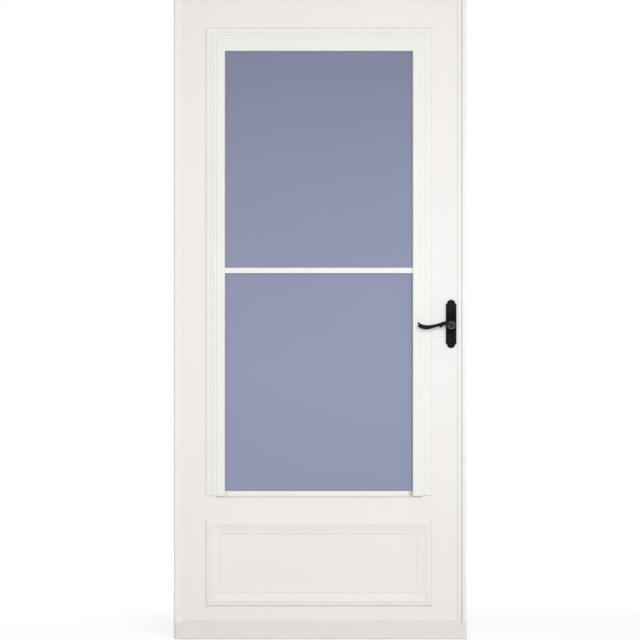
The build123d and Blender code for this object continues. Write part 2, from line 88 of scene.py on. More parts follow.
# Lever, in millimetres from the spindle: across, up, half height, half depth
ARM = (
    (-2.0, 1.5, 9.8, 4.6),
    (-13.0, 6.0, 8.0, 5.2),
    (-22.0, 6.2, 6.9, 5.4),
    (-31.5, 3.4, 5.9, 5.4),
    (-42.0, 0.6, 5.2, 5.2),
    (-54.0, -2.6, 5.2, 5.0),
    (-67.0, -5.6, 6.2, 4.8),
    (-80.0, -7.0, 7.4, 4.6),
    (-91.0, -5.2, 7.4, 4.4),
    (-98.0, -0.4, 4.9, 4.0),
    (-103.6, 5.6, 2.7, 3.2),
    (-107.2, 10.4, 1.3, 1.9),
)
LEAF_TIP = (
    (-92.0, -6.6, 5.6, 3.8),
    (-99.0, -5.4, 4.2, 3.4),
    (-104.3, -2.6, 2.6, 2.6),
    (-107.4, 0.4, 1.1, 1.4),
)
BARB = (
    (-28.0, 1.5, 4.6, 4.0),
    (-32.0, -2.0, 4.3, 3.6),
    (-35.2, -5.0, 3.0, 2.6),
    (-36.8, -7.8, 1.1, 1.2),
)
# Radius and height above the rose, from the foot of the shank to the button on the hub
HUB = (
    (8.5, 0.0), (8.5, 2.6), (7.0, 4.4), (6.6, 12.0), (7.2, 19.0), (9.6, 23.4), (12.3, 26.4),
    (12.3, 32.6), (11.5, 34.2), (9.8, 34.2), (9.3, 33.0), (7.8, 33.0), (7.2, 34.2), (4.6, 34.9),
    (2.8, 34.9), (2.3, 34.0),
)
# Rings on the face of the hub that take painted highlights, by inner and outer radius, and the height where
# its face begins
HUB_RIM_HIGHLIGHT = (9.6, 11.7)
HUB_BUTTON_HIGHLIGHT = (2.6, 7.4)
HUB_FACE_HEIGHT = 33.6
# Radius and height of the rose on each plate, and of a screw and a plug of radius 1
ROSE = ((13.6, 0.0), (13.6, 2.6), (12.9, 3.6), (11.8, 4.0))
SCREW_HEAD = ((1.0, 0.0), (1.0, 0.2), (0.82, 0.42), (0.5, 0.52))
PLUG_HEAD = ((1.0, 0.0), (1.0, 0.14), (0.9, 0.24), (0.55, 0.3))


class DoorFinishes(bpy.types.PropertyGroup):
    """Colours of the door's finishes."""

    skin: FloatVectorProperty(
        name="Skin", description="White of the slab and its panels", subtype="COLOR", size=3,
        min=0, max=1, default=(0.848, 0.808, 0.782),
    )
    vinyl: FloatVectorProperty(
        name="Vinyl", description="White of the window trim, tracks and casing", subtype="COLOR", size=3,
        min=0, max=1, default=(0.842, 0.828, 0.784),
    )
    enamel: FloatVectorProperty(
        name="Enamel", description="White of the frame bars, edge rail and sashes", subtype="COLOR", size=3,
        min=0, max=1, default=(0.858, 0.838, 0.802),
    )
    kick: FloatVectorProperty(
        name="Kick", description="Slightly darker white of the channel round the foot", subtype="COLOR",
        size=3, min=0, max=1, default=(0.780, 0.747, 0.723),
    )
    # The panes' blue grey is a painted sky reflection.
    glass: FloatVectorProperty(
        name="Glass", description="Blue grey that the panes show", subtype="COLOR", size=3,
        min=0, max=1, default=(0.257, 0.278, 0.399),
    )
    bronze: FloatVectorProperty(
        name="Bronze", description="Dark bronze of the lever set", subtype="COLOR", size=3,
        min=0, max=1, default=(0.0090, 0.0062, 0.0078),
    )
    # The seals' bluish grey also paints the shade at the panes' edges.
    seal: FloatVectorProperty(
        name="Seal", description="Grey of the glazing seals and the screen's bead", subtype="COLOR", size=3,
        min=0, max=1, default=(0.220, 0.232, 0.320),
    )


class DoorHardware(bpy.types.PropertyGroup):
    """Sizes of the small pieces that dress the door."""

    knuckles: IntProperty(
        name="Knuckles", description="Knuckles along the full length hinge", min=3, max=201, default=131,
    )
    knuckle_gap: FloatProperty(
        name="Knuckle gap", description="Space between two knuckles", unit="LENGTH", min=0,
        default=0.5 * MM,
    )
    leaf_wall: FloatProperty(
        name="Leaf wall", description="Thickness of the hinge leaves", unit="LENGTH", min=0,
        default=1.2 * MM,
    )
    seal_width: FloatProperty(
        name="Seal width", description="Width of the seals round the panes", unit="LENGTH", min=0,
        default=2.2 * MM,
    )
    plate_width: FloatProperty(
        name="Plate width", description="Width of the plates behind the levers", unit="LENGTH", min=0,
        default=33.4 * MM,
    )
    arch_radius: FloatProperty(
        name="Arch radius", description="Radius of the arch at each end of a plate", unit="LENGTH", min=0,
        default=12.9 * MM,
    )
    screw_radius: FloatProperty(
        name="Screw radius", description="Radius of the plate screws", unit="LENGTH", min=0,
        default=3.2 * MM,
    )
    plug_radius: FloatProperty(
        name="Plug radius", description="Radius of the plugs in the inner casing", unit="LENGTH", min=0,
        default=5.5 * MM,
    )


class DoorStage(bpy.types.PropertyGroup):
    """Camera and lights round the door."""

    camera_distance: FloatProperty(
        name="Camera distance", description="From the camera to the face of the slab", unit="LENGTH",
        min=1, default=16.0,
    )
    picture_size: FloatProperty(
        name="Picture size", description="Width that the picture covers at the slab", unit="LENGTH",
        min=0.1, default=2.032,
    )
    view_x: FloatProperty(
        name="View across", description="Place across the door that the camera looks at", unit="LENGTH",
        default=0.4555,
    )
    view_z: FloatProperty(
        name="View height", description="Height that the camera looks at", unit="LENGTH", default=1.0128,
    )
    sky: FloatProperty(
        name="Sky", description="Strength of the even light from all round", min=0, default=0.465,
    )
    front: FloatProperty(
        name="Front", description="Power of the large lamp high on the right", unit="POWER", min=0,
        default=242.0,
    )
    fill: FloatProperty(
        name="Fill", description="Power of the lamp before the middle of the door", unit="POWER", min=0,
        default=13.0,
    )
    key: FloatProperty(
        name="Key", description="Power of the lamp beside the handle", unit="POWER", min=0, default=1.15,
    )
    back: FloatProperty(
        name="Back", description="Power of the large lamp behind", unit="POWER", min=0, default=150.0,
    )


def new_finish(name):
    """A material that holds one Principled shader; returns it, its node tree and the shader."""
    finish = bpy.data.materials.new(name)
    finish.use_nodes = True
    tree = finish.node_tree
    tree.nodes.clear()
    output = tree.nodes.new("ShaderNodeOutputMaterial")
    shader = tree.nodes.new("ShaderNodeBsdfPrincipled")
    tree.links.new(shader.outputs["BSDF"], output.inputs["Surface"])
    return finish, tree, shader


def place(tree, stretch):
    """Object coordinates, scaled along each axis."""
    coordinates = tree.nodes.new("ShaderNodeTexCoord")
    mapping = tree.nodes.new("ShaderNodeMapping")
    mapping.inputs["Scale"].default_value = stretch
    tree.links.new(coordinates.outputs["Object"], mapping.inputs["Vector"])
    return mapping.outputs["Vector"]


def fleck(tree, size, stretch=(1, 1, 1), detail=2):
    """Noise whose patches are about as large as size, in metres, before the stretch."""
    noise = tree.nodes.new("ShaderNodeTexNoise")
    noise.inputs["Scale"].default_value = 1 / size
    noise.inputs["Detail"].default_value = detail
    tree.links.new(place(tree, stretch), noise.inputs["Vector"])
    return noise.outputs["Fac"]


def between(tree, value, low, high, start=0.3, end=0.7):
    """The value spread between two numbers."""
    spread = tree.nodes.new("ShaderNodeMapRange")
    spread.inputs["From Min"].default_value = start
    spread.inputs["From Max"].default_value = end
    spread.inputs["To Min"].default_value = low
    spread.inputs["To Max"].default_value = high
    tree.links.new(value, spread.inputs["Value"])
    return spread.outputs["Result"]


def shades(tree, value, stops):
    """Colours along a ramp; each stop is a position and a colour."""
    ramp = tree.nodes.new("ShaderNodeValToRGB")
    elements = ramp.color_ramp.elements
    while len(elements) < len(stops):
        elements.new(0.5)
    for element, (position, colour) in zip(elements, stops):
        element.position = position
        element.color = (*colour, 1)
    tree.links.new(value, ramp.inputs["Fac"])
    return ramp.outputs["Color"]


def toned(colour, share):
    """The colour made lighter or darker by a share."""
    return tuple(min(1.0, channel * share) for channel in colour)


def together(tree, first, second, share):
    """Two values added, the second times a share."""
    mixed = tree.nodes.new("ShaderNodeMath")
    mixed.operation = "MULTIPLY_ADD"
    mixed.inputs[1].default_value = share
    tree.links.new(second, mixed.inputs[0])
    tree.links.new(first, mixed.inputs[2])
    return mixed.outputs["Value"]


def relief(tree, shader, height, depth):
    """Bump of a depth in metres."""
    bump = tree.nodes.new("ShaderNodeBump")
    bump.inputs["Strength"].default_value = 1
    bump.inputs["Distance"].default_value = depth
    tree.links.new(height, bump.inputs["Height"])
    tree.links.new(bump.outputs["Normal"], shader.inputs["Normal"])


def painted_skin(colour):
    """Painted slab skin: a faint cloudiness, fine orange peel and a soft sheen."""
    finish, tree, shader = new_finish("painted_skin")
    cloud = fleck(tree, 0.3)
    tone = shades(tree, cloud, ((0.3, toned(colour, 0.985)), (0.7, toned(colour, 1.01))))
    tree.links.new(tone, shader.inputs["Base Color"])
    tree.links.new(between(tree, fleck(tree, 0.03), 0.40, 0.50), shader.inputs["Roughness"])
    relief(tree, shader, together(tree, fleck(tree, 0.0022), fleck(tree, 0.012), 1.5), 0.05 * MM)
    shader.inputs["Specular IOR Level"].default_value = 0.4
    return finish


def drawn_surface(name, colour, along, roughness):
    """Extruded surface: faint draw lines along its length over a slight cloudiness."""
    finish, tree, shader = new_finish(name)
    lines = fleck(tree, 0.0016, along, 3)
    cloud = fleck(tree, 0.2)
    mixed = together(tree, cloud, lines, 0.15)
    tone = shades(tree, mixed, ((0.35, toned(colour, 0.985)), (0.8, toned(colour, 1.012))))
    tree.links.new(tone, shader.inputs["Base Color"])
    tree.links.new(between(tree, lines, roughness - 0.05, roughness + 0.06), shader.inputs["Roughness"])
    relief(tree, shader, together(tree, lines, fleck(tree, 0.004), 0.5), 0.02 * MM)
    shader.inputs["Specular IOR Level"].default_value = 0.45
    return finish


def satin_vinyl(name, colour, along):
    """White vinyl mouldings."""
    return drawn_surface(name, colour, along, 0.38)


def baked_enamel(name, colour, along):
    """Enamelled aluminium bars, with a thin clear gloss."""
    finish = drawn_surface(name, colour, along, 0.34)
    shader = next(node for node in finish.node_tree.nodes if node.type == "BSDF_PRINCIPLED")
    shader.inputs["Coat Weight"].default_value = 0.15
    shader.inputs["Coat Roughness"].default_value = 0.2
    return finish


def kick_enamel(colour):
    """Channel round the foot: enamel with faint scuffs along it."""
    finish, tree, shader = new_finish("kick_enamel")
    scuffs = fleck(tree, 0.02, (0.15, 1, 1), 4)
    tone = shades(tree, scuffs, ((0.3, toned(colour, 0.98)), (0.7, toned(colour, 1.01))))
    tree.links.new(tone, shader.inputs["Base Color"])
    tree.links.new(between(tree, scuffs, 0.36, 0.48), shader.inputs["Roughness"])
    relief(tree, shader, fleck(tree, 0.003, (0.2, 1, 1)), 0.03 * MM)
    return finish


def painted_sky_glass(colour):
    """Panes with a painted blue grey sky reflection, darker towards the head of the window as painted
    shade.
    """
    finish, tree, shader = new_finish("painted_sky_glass")
    height = tree.nodes.new("ShaderNodeSeparateXYZ")
    tree.links.new(place(tree, (1, 1, 1)), height.inputs["Vector"])
    glass_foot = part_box("lower_glass")[0].z
    glass_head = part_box("upper_glass")[1].z
    level = between(tree, height.outputs["Z"], 0, 1, glass_foot, glass_head)
    drifted = together(tree, level, fleck(tree, 0.5), 0.06)
    # The ramp paints the sky reflection and the shade under the window's head, darker upwards.
    tone = shades(tree, drifted, (
        (0.0, toned(colour, 1.06)), (0.3, toned(colour, 1.09)), (0.5, toned(colour, 1.04)),
        (0.72, toned(colour, 0.96)), (0.90, toned(colour, 0.87)), (1.0, toned(colour, 0.80)),
    ))
    tree.links.new(tone, shader.inputs["Base Color"])
    tree.links.new(between(tree, fleck(tree, 0.1), 0.03, 0.07), shader.inputs["Roughness"])
    shader.inputs["IOR"].default_value = 1.5
    shader.inputs["Metallic"].default_value = 0.35
    return finish


def screen_weave():
    """Charcoal screen with a fine square weave that lets most of the light through."""
    finish, tree, shader = new_finish("screen_weave")
    weave = tree.nodes.new("ShaderNodeTexChecker")
    weave.inputs["Scale"].default_value = 1 / (1.4 * MM)
    tree.links.new(place(tree, (1, 0, 1)), weave.inputs["Vector"])
    tone = shades(tree, weave.outputs["Fac"], ((0.0, (0.035, 0.038, 0.042)), (1.0, (0.075, 0.08, 0.088))))
    tree.links.new(tone, shader.inputs["Base Color"])
    relief(tree, shader, weave.outputs["Fac"], 0.1 * MM)
    shader.inputs["Roughness"].default_value = 0.7
    shader.inputs["Alpha"].default_value = 0.6
    return finish


def rubbed_bronze(colour):
    """Oil rubbed bronze: nearly black, mottled, with a low gloss."""
    finish, tree, shader = new_finish("rubbed_bronze")
    mottle = fleck(tree, 0.012, (1, 1, 1), 4)
    tone = shades(tree, mottle, ((0.3, toned(colour, 0.8)), (0.75, toned(colour, 1.5))))
    tree.links.new(tone, shader.inputs["Base Color"])
    tree.links.new(between(tree, mottle, 0.34, 0.46), shader.inputs["Roughness"])
    relief(tree, shader, fleck(tree, 0.0012), 0.03 * MM)
    shader.inputs["Specular IOR Level"].default_value = 0.09
    return finish


def painted_highlight_bronze(name, colour):
    """Grey brown bronze that paints the highlights on the hub's rim and button."""
    finish, tree, shader = new_finish(name)
    # The mottle spreads the tone of the painted highlight.
    rubbed = fleck(tree, 0.004, (1, 1, 1), 3)
    tone = shades(tree, rubbed, ((0.3, toned(colour, 0.7)), (0.7, toned(colour, 1.3))))
    tree.links.new(tone, shader.inputs["Base Color"])
    tree.links.new(between(tree, rubbed, 0.3, 0.4), shader.inputs["Roughness"])
    relief(tree, shader, rubbed, 0.02 * MM)
    shader.inputs["Metallic"].default_value = 0.3
    return finish


def zinc_plate():
    """Zinc plated steel with short brush lines."""
    finish, tree, shader = new_finish("zinc_plate")
    brushed = fleck(tree, 0.0008, (1, 1, 0.08), 3)
    tone = shades(tree, brushed, ((0.3, (0.46, 0.47, 0.49)), (0.7, (0.60, 0.61, 0.62))))
    tree.links.new(tone, shader.inputs["Base Color"])
    tree.links.new(between(tree, brushed, 0.24, 0.38), shader.inputs["Roughness"])
    relief(tree, shader, brushed, 0.01 * MM)
    shader.inputs["Metallic"].default_value = 0.9
    return finish


def woven_pile():
    """Woven pile: short grey fibres."""
    finish, tree, shader = new_finish("woven_pile")
    fibres = fleck(tree, 0.0006, (1, 0.15, 1), 4)
    tone = shades(tree, fibres, ((0.3, (0.26, 0.26, 0.26)), (0.7, (0.48, 0.48, 0.47))))
    tree.links.new(tone, shader.inputs["Base Color"])
    relief(tree, shader, fibres, 0.5 * MM)
    shader.inputs["Roughness"].default_value = 0.9
    shader.inputs["Sheen Weight"].default_value = 0.4
    return finish


def sweep_vinyl():
    """Flexible grey fins under the foot, faintly dusty."""
    finish, tree, shader = new_finish("sweep_vinyl")
    dust = fleck(tree, 0.015, (0.3, 1, 1), 4)
    tone = shades(tree, dust, ((0.3, (0.64, 0.63, 0.61)), (0.7, (0.78, 0.77, 0.74))))
    tree.links.new(tone, shader.inputs["Base Color"])
    tree.links.new(between(tree, dust, 0.5, 0.75), shader.inputs["Roughness"])
    relief(tree, shader, fleck(tree, 0.002), 0.04 * MM)
    return finish


def seal_rubber_and_shade(colour):
    """Seals round the panes: soft grey rubber, bluish so that round the panes it also paints the shade at
    their edges.
    """
    finish, tree, shader = new_finish("seal_rubber_and_shade")
    grain = fleck(tree, 0.003)
    tone = shades(tree, grain, ((0.3, toned(colour, 0.9)), (0.7, toned(colour, 1.1))))
    tree.links.new(tone, shader.inputs["Base Color"])
    tree.links.new(between(tree, grain, 0.5, 0.65), shader.inputs["Roughness"])
    relief(tree, shader, fleck(tree, 0.0012), 0.02 * MM)
    shader.inputs["Specular IOR Level"].default_value = 0.3
    return finish


def begin():
    """Object mode, with nothing selected."""
    if bpy.context.object and bpy.context.object.mode != "OBJECT":
        bpy.ops.object.mode_set(mode="OBJECT")
    bpy.ops.object.select_all(action="DESELECT")


def alone(piece):
    """Selects one piece and makes it active."""
    begin()
    piece.select_set(True)
    bpy.context.view_layer.objects.active = piece


def settle(piece):
    """Moves a piece's place and turn into its mesh."""
    alone(piece)
    bpy.ops.object.transform_apply(location=True, rotation=True, scale=True)
    return piece


def modify(piece, kind, **values):
    """Adds a modifier with these values and applies it."""
    alone(piece)
    modifier = piece.modifiers.new(kind.title(), kind)
    for key, value in values.items():
        setattr(modifier, key, value)
    bpy.ops.object.modifier_apply(modifier=modifier.name)
    return piece


def soften(piece, width, segments=2):
    """Rounds the sharp edges of a piece."""
    return modify(
        piece, "BEVEL", width=width, segments=segments, limit_method="ANGLE", angle_limit=radians(30),
    )


def joined(pieces):
    """Several pieces as one."""
    begin()
    for piece in pieces:
        piece.select_set(True)
    bpy.context.view_layer.objects.active = pieces[0]
    bpy.ops.object.join()
    return pieces[0]


def block(low, high):
    """Box between two corners."""
    low, high = Vector(low), Vector(high)
    begin()
    bpy.ops.mesh.primitive_cube_add(size=1, location=(low + high) / 2, scale=high - low)
    return settle(bpy.context.object)


def outward_normals():
    """In edit mode, turns all faces outwards."""
    bpy.ops.mesh.select_all(action="SELECT")
    bpy.ops.mesh.normals_make_consistent(inside=False)


def turned(profile, foot, direction, sides=32, size=MM):
    """Turned piece: radii and heights, times size, from its foot along a direction."""
    begin()
    radius, height = profile[0]
    bpy.ops.mesh.primitive_circle_add(
        vertices=sides, radius=radius * size, fill_type="NGON", location=(0, 0, 0),
    )
    piece = bpy.context.object
    bpy.ops.object.mode_set(mode="EDIT")
    bpy.ops.mesh.select_all(action="SELECT")
    for next_radius, next_height in profile[1:]:
        rise = (next_height - height) * size
        share = next_radius / radius
        bpy.ops.mesh.extrude_region_move(TRANSFORM_OT_translate={"value": (0, 0, rise)})
        bpy.ops.transform.resize(value=(share, share, 1), center_override=(0, 0, 0))
        radius, height = next_radius, next_height
    outward_normals()
    bpy.ops.object.mode_set(mode="OBJECT")
    piece.rotation_mode = "QUATERNION"
    piece.rotation_quaternion = Vector(direction).to_track_quat("Z", "Y")
    piece.location = foot
    return settle(piece)


def swept(sections, origin, sides=12):
    """Tube through oval sections in the upright plane through origin, rounded by subdivision."""
    points = [origin + Vector((across, 0, up)) * MM for across, up, _, _ in sections]
    headings = []
    for index in range(len(points)):
        run = points[min(index + 1, len(points) - 1)] - points[max(index - 1, 0)]
        headings.append(atan2(run.z, run.x))
    begin()
    half_height, half_depth = sections[0][2:]
    bpy.ops.mesh.primitive_circle_add(
        vertices=sides, radius=half_height * MM, fill_type="NGON", location=points[0],
        rotation=(0, pi / 2 - headings[0], 0),
    )
    tube = settle(bpy.context.object)
    bpy.ops.object.mode_set(mode="EDIT")
    bpy.ops.mesh.select_all(action="SELECT")
    bpy.ops.transform.resize(value=(1, half_depth / half_height, 1), center_override=points[0])
    for index in range(1, len(points)):
        tall = sections[index][2] / half_height
        deep = sections[index][3] / half_depth
        half_height, half_depth = sections[index][2:]
        turn = (headings[index] - headings[index - 1] + pi) % (2 * pi) - pi
        centre = points[index]
        bpy.ops.mesh.extrude_region_move(TRANSFORM_OT_translate={"value": centre - points[index - 1]})
        bpy.ops.transform.rotate(value=turn, orient_axis="Y", center_override=centre)
        bpy.ops.transform.resize(value=(tall, deep, tall), center_override=centre)
    outward_normals()
    bpy.ops.object.mode_set(mode="OBJECT")
    return modify(tube, "SUBSURF", levels=2, render_levels=2)


def ring(across, up, deep, width, roundness):
    """Four sided ring of a strip, upright, between two values each way."""
    begin()
    middle = ((across[0] + across[1]) / 2, deep[0], (up[0] + up[1]) / 2)
    bpy.ops.mesh.primitive_plane_add(size=1, location=middle, rotation=(pi / 2, 0, 0))
    piece = bpy.context.object
    piece.scale = (across[1] - across[0], up[1] - up[0], 1)
    settle(piece)
    bpy.ops.object.mode_set(mode="EDIT")
    bpy.ops.mesh.select_all(action="SELECT")
    bpy.ops.mesh.inset(thickness=width)
    bpy.ops.mesh.delete(type="FACE")
    bpy.ops.mesh.select_all(action="SELECT")
    bpy.ops.mesh.extrude_region_move(TRANSFORM_OT_translate={"value": (0, deep[1] - deep[0], 0)})
    outward_normals()
    bpy.ops.object.mode_set(mode="OBJECT")
    return soften(piece, roundness, 3)


def copies(master, places):
    """Copies of a piece at the origin, each with its own mesh, joined as one; the master is removed."""
    made = []
    for spot, direction in places:
        twin = master.copy()
        twin.data = master.data.copy()
        bpy.context.collection.objects.link(twin)
        twin.rotation_mode = "QUATERNION"
        twin.rotation_quaternion = Vector(direction).to_track_quat("Z", "Y")
        twin.location = spot
        made.append(settle(twin))
    bpy.data.objects.remove(master)
    return joined(made)


def screw_head(radius):
    """Low screw head with a crossed slot, at the origin and facing up."""
    head = turned(SCREW_HEAD, (0, 0, 0), (0, 0, 1), 28, radius)
    reach = radius * 0.55
    half = radius * 0.11
    slots = joined([
        block((-reach, -half, radius * 0.2), (reach, half, radius)),
        block((-half, -reach, radius * 0.2), (half, reach, radius)),
    ])
    modify(head, "BOOLEAN", operation="DIFFERENCE", solver="EXACT", use_self=True, object=slots)
    bpy.data.objects.remove(slots)
    return head


def dress(piece, name, body, finish, slot, *replaced):
    """Names a finished piece, gives it its finish and lets it ride on a body."""
    alone(piece)
    piece.name = name
    piece.data.name = name
    if not piece.data.materials:
        piece.data.materials.append(bpy.data.materials[finish])
    bpy.ops.object.shade_smooth_by_angle(angle=radians(38))
    modify(piece, "WEIGHTED_NORMAL", keep_sharp=True)
    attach(piece, body)
    if replaced:
        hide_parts(*replaced)
    return piece


class STORMDOOR_OT_finishes(bpy.types.Operator):
    """Makes every finish and gives each piece of the frame its own"""

    bl_idname = "storm_door.finishes"
    bl_label = "Finish the pieces"

    def execute(self, context):
        colours = context.scene.door_finishes
        upright, level = (1, 1, 0.02), (0.02, 1, 1)
        finishes = {
            "skin": painted_skin(colours.skin),
            "vinyl_upright": satin_vinyl("satin_vinyl_upright", colours.vinyl, upright),
            "vinyl_level": satin_vinyl("satin_vinyl_level", colours.vinyl, level),
            "enamel_upright": baked_enamel("baked_enamel_upright", colours.enamel, upright),
            # Enamel 10 % lighter: painted light lifting the shade on the hinge side.
            "enamel_shade_lifted": baked_enamel("baked_enamel_shade_lifted", toned(colours.enamel, 1.1), upright),
            "enamel_level": baked_enamel("baked_enamel_level", colours.enamel, level),
            "kick": kick_enamel(colours.kick),
            "glass": painted_sky_glass(colours.glass),
            "mesh": screen_weave(),
            "bronze": rubbed_bronze(colours.bronze),
            "zinc": zinc_plate(),
            "pile": woven_pile(),
            "sweep": sweep_vinyl(),
        }
        seal_rubber_and_shade(colours.seal)
        satin_vinyl("edge_vinyl", toned(colours.vinyl, 0.86), upright)
        satin_vinyl("lip_vinyl", toned(colours.vinyl, 0.96), upright)
        # Darker vinyl for the strip that paints the shadow under the window's foot.
        satin_vinyl("shadow_strip_vinyl", toned(colours.vinyl, 0.72), level)
        # Dark vinyl for bars that paint the shade in the latch's grip grooves.
        satin_vinyl("grip_shade_vinyl", toned(colours.vinyl, 0.36), level)
        # Lighter bronzes that paint the highlights on the hub's rim and button.
        painted_highlight_bronze("painted_highlight_bronze", (0.16, 0.145, 0.135))
        painted_highlight_bronze("painted_button_highlight_bronze", (0.024, 0.021, 0.022))
        for finish, names in FINISH_OF.items():
            for name in names:
                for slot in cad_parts[name].material_slots:
                    slot.material = finishes[finish]
        return {"FINISHED"}


class STORMDOOR_OT_hinge(bpy.types.Operator):
    """Full length hinge: close knuckles that take turns round the pin, behind the door leaf's cover"""

    bl_idname = "storm_door.hinge"
    bl_label = "Model the hinge"

    def execute(self, context):
        hardware = context.scene.door_hardware
        wall = hardware.leaf_wall
        frame_low, frame_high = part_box("frame_hinge_leaf")
        door_low, door_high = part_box("door_hinge_leaf")
        radius = HINGE_X - frame_low.x
        pitch = (frame_high.z - frame_low.z) / hardware.knuckles
        length = pitch - hardware.knuckle_gap

        def knuckles(first, tail_low, tail_high):
            """Every other knuckle, each with the tail that joins it to its leaf."""
            foot = frame_low.z + pitch * first
            barrel = turned(((1, 0), (1, length / radius)), (HINGE_X, HINGE_Y, foot), (0, 0, 1), 20, radius)
            soften(barrel, 0.25 * MM, 1)
            tail = block((*tail_low, foot), (*tail_high, foot + length))
            count = (hardware.knuckles - first + 1) // 2
            return modify(
                joined([barrel, tail]), "ARRAY", count=count, use_relative_offset=False,
                use_constant_offset=True, constant_offset_displace=(0, 0, 2 * pitch),
            )

        frame_row = knuckles(0, (frame_low.x, HINGE_Y), (frame_low.x + wall, frame_high.y - wall))
        foot = soften(block((frame_low.x, frame_high.y - wall, frame_low.z), frame_high), 0.2 * MM)
        # The frame's hinge leaf takes the lighter enamel as painted light.
        dress(
            joined([frame_row, foot]), "frame_hinge_leaf_fine", "frame", "baked_enamel_shade_lifted",
            "white_aluminium", "frame_hinge_leaf",
        )
        door_row = knuckles(1, (HINGE_X, door_low.y + 0.5 * wall), (HINGE_X + radius, HINGE_Y))
        cover_inset = 0.3 * MM
        cover_corners = (
            (door_low.x + cover_inset, door_low.y, door_low.z),
            (door_high.x, door_low.y + wall, slab_high.z),
        )
        strip = soften(block(*cover_corners), 0.2 * MM)
        leg_corner = (door_high.x - wall, door_low.y + wall, door_low.z)
        leg = soften(block(leg_corner, door_high), 0.2 * MM)
        dress(
            joined([door_row, strip, leg]), "door_hinge_leaf_fine", "door", "baked_enamel_upright",
            "white_aluminium", "door_hinge_leaf",
        )
        return {"FINISHED"}


class STORMDOOR_OT_levers(bpy.types.Operator):
    """Wave levers: a waisted shank, a dished hub and an arm that ends in a forked leaf"""

    bl_idname = "storm_door.levers"
    bl_label = "Model the levers"

    def execute(self, context):
        lever_low, lever_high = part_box("outside_lever")
        deepest = max(section[3] for section in ARM) * MM
        middle = Vector((SPINDLE_X, lever_low.y + deepest, SPINDLE_Z))
        hub = soften(turned(HUB, (SPINDLE_X, lever_high.y, SPINDLE_Z), OUT, 48), 0.3 * MM)
        for finish in ("rubbed_bronze", "painted_highlight_bronze", "painted_button_highlight_bronze"):
            hub.data.materials.append(bpy.data.materials[finish])
        # Faces of the rim and the button take the lighter bronzes: painted highlights.
        for face in hub.data.polygons:
            reach = Vector((face.center.x - SPINDLE_X, face.center.z - SPINDLE_Z)).length
            if lever_high.y - face.center.y > HUB_FACE_HEIGHT * MM:
                for slot, (inner, outer) in ((1, HUB_RIM_HIGHLIGHT), (2, HUB_BUTTON_HIGHLIGHT)):
                    if inner * MM < reach < outer * MM:
                        face.material_index = slot
        parts = [hub]
        for sections in (ARM, LEAF_TIP, BARB):
            arm = swept(sections, middle)
            arm.data.materials.append(bpy.data.materials["rubbed_bronze"])
            parts.append(arm)
        outside = joined(parts)
        inside = outside.copy()
        inside.data = outside.data.copy()
        context.collection.objects.link(inside)
        alone(inside)
        bpy.ops.object.mode_set(mode="EDIT")
        bpy.ops.mesh.select_all(action="SELECT")
        bpy.ops.transform.resize(value=(1, -1, 1), center_override=(SPINDLE_X, LEAF_MIDDLE, SPINDLE_Z))
        outward_normals()
        bpy.ops.object.mode_set(mode="OBJECT")
        dress(outside, "outside_wave_lever", "levers", "rubbed_bronze", "dark_bronze", "outside_lever")
        dress(inside, "inside_wave_lever", "levers", "rubbed_bronze", "dark_bronze", "inside_lever")
        return {"FINISHED"}


class STORMDOOR_OT_plates(bpy.types.Operator):
    """Plates behind the levers: straight sides, crisp shoulders, an arch at each end and a round rose"""

    bl_idname = "storm_door.plates"
    bl_label = "Model the plates"

    def execute(self, context):
        hardware = context.scene.door_hardware
        half = hardware.plate_width / 2
        arch = hardware.arch_radius
        rose_depth = ROSE[-1][1] * MM
        rose_sunk = 0.5 * MM
        hole = (spindle_high.x - spindle_low.x) / 2 + 0.5 * MM
        for side, outward in (("outside", OUT), ("inside", IN)):
            node = side + "_escutcheon"
            low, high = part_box(node)
            back = high.y if outward == OUT else low.y
            front = back + outward.y * (high.y - low.y - rose_depth)
            depth = abs(front - back)
            plate = block(
                (SPINDLE_X - half, back, low.z + arch), (SPINDLE_X + half, front, high.z - arch),
            )
            for centre in (low.z + arch, high.z - arch):
                disc = turned(((1, 0), (1, depth / arch)), (SPINDLE_X, back, centre), outward, 64, arch)
                modify(plate, "BOOLEAN", operation="UNION", solver="EXACT", object=disc)
                bpy.data.objects.remove(disc)
            soften(plate, 1.6 * MM, 3)
            rose_foot = (SPINDLE_X, front - outward.y * rose_sunk, SPINDLE_Z)
            rose = soften(turned(ROSE, rose_foot, outward, 64), 0.3 * MM)
            plate = joined([plate, rose])
            bore_foot = (SPINDLE_X, back - outward.y * depth, SPINDLE_Z)
            bore = turned(((1, 0), (1, 4 * depth / hole)), bore_foot, outward, 32, hole)
            modify(plate, "BOOLEAN", operation="DIFFERENCE", solver="EXACT", use_self=True, object=bore)
            bpy.data.objects.remove(bore)
            dress(plate, side + "_plate", "door", "rubbed_bronze", "dark_bronze", node)
        return {"FINISHED"}


class STORMDOOR_OT_seals(bpy.types.Operator):
    """Seals round both faces of each pane, and the bead that holds the insect screen"""

    bl_idname = "storm_door.seals"
    bl_label = "Model the seals"

    def execute(self, context):
        width = context.scene.door_hardware.seal_width
        bite = 6 * MM
        lip = 1.2 * MM
        for pane in ("upper_glass", "lower_glass"):
            low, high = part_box(pane)
            across = (low.x + bite, high.x - bite)
            up = (low.z + bite, high.z - bite)
            # Real seals, whose colour also paints the shade at the panes' edges.
            front = ring(across, up, (low.y - lip, low.y), width, 0.4 * MM)
            back = ring(across, up, (high.y, high.y + lip), width, 0.4 * MM)
            dress(joined([front, back]), pane + "_seal", "door", "seal_rubber_and_shade", "tinted_glass")
        low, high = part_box("insect_screen")
        frame_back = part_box("screen_frame")[1].y
        reach = 4 * MM
        bead = ring(
            (low.x - reach, high.x + reach), (low.z - reach, high.z + reach),
            (frame_back - 1 * MM, frame_back + 1 * MM), 3.5 * MM, 0.8 * MM,
        )
        dress(bead, "screen_bead", "door", "seal_rubber_and_shade", "screen_mesh")
        return {"FINISHED"}


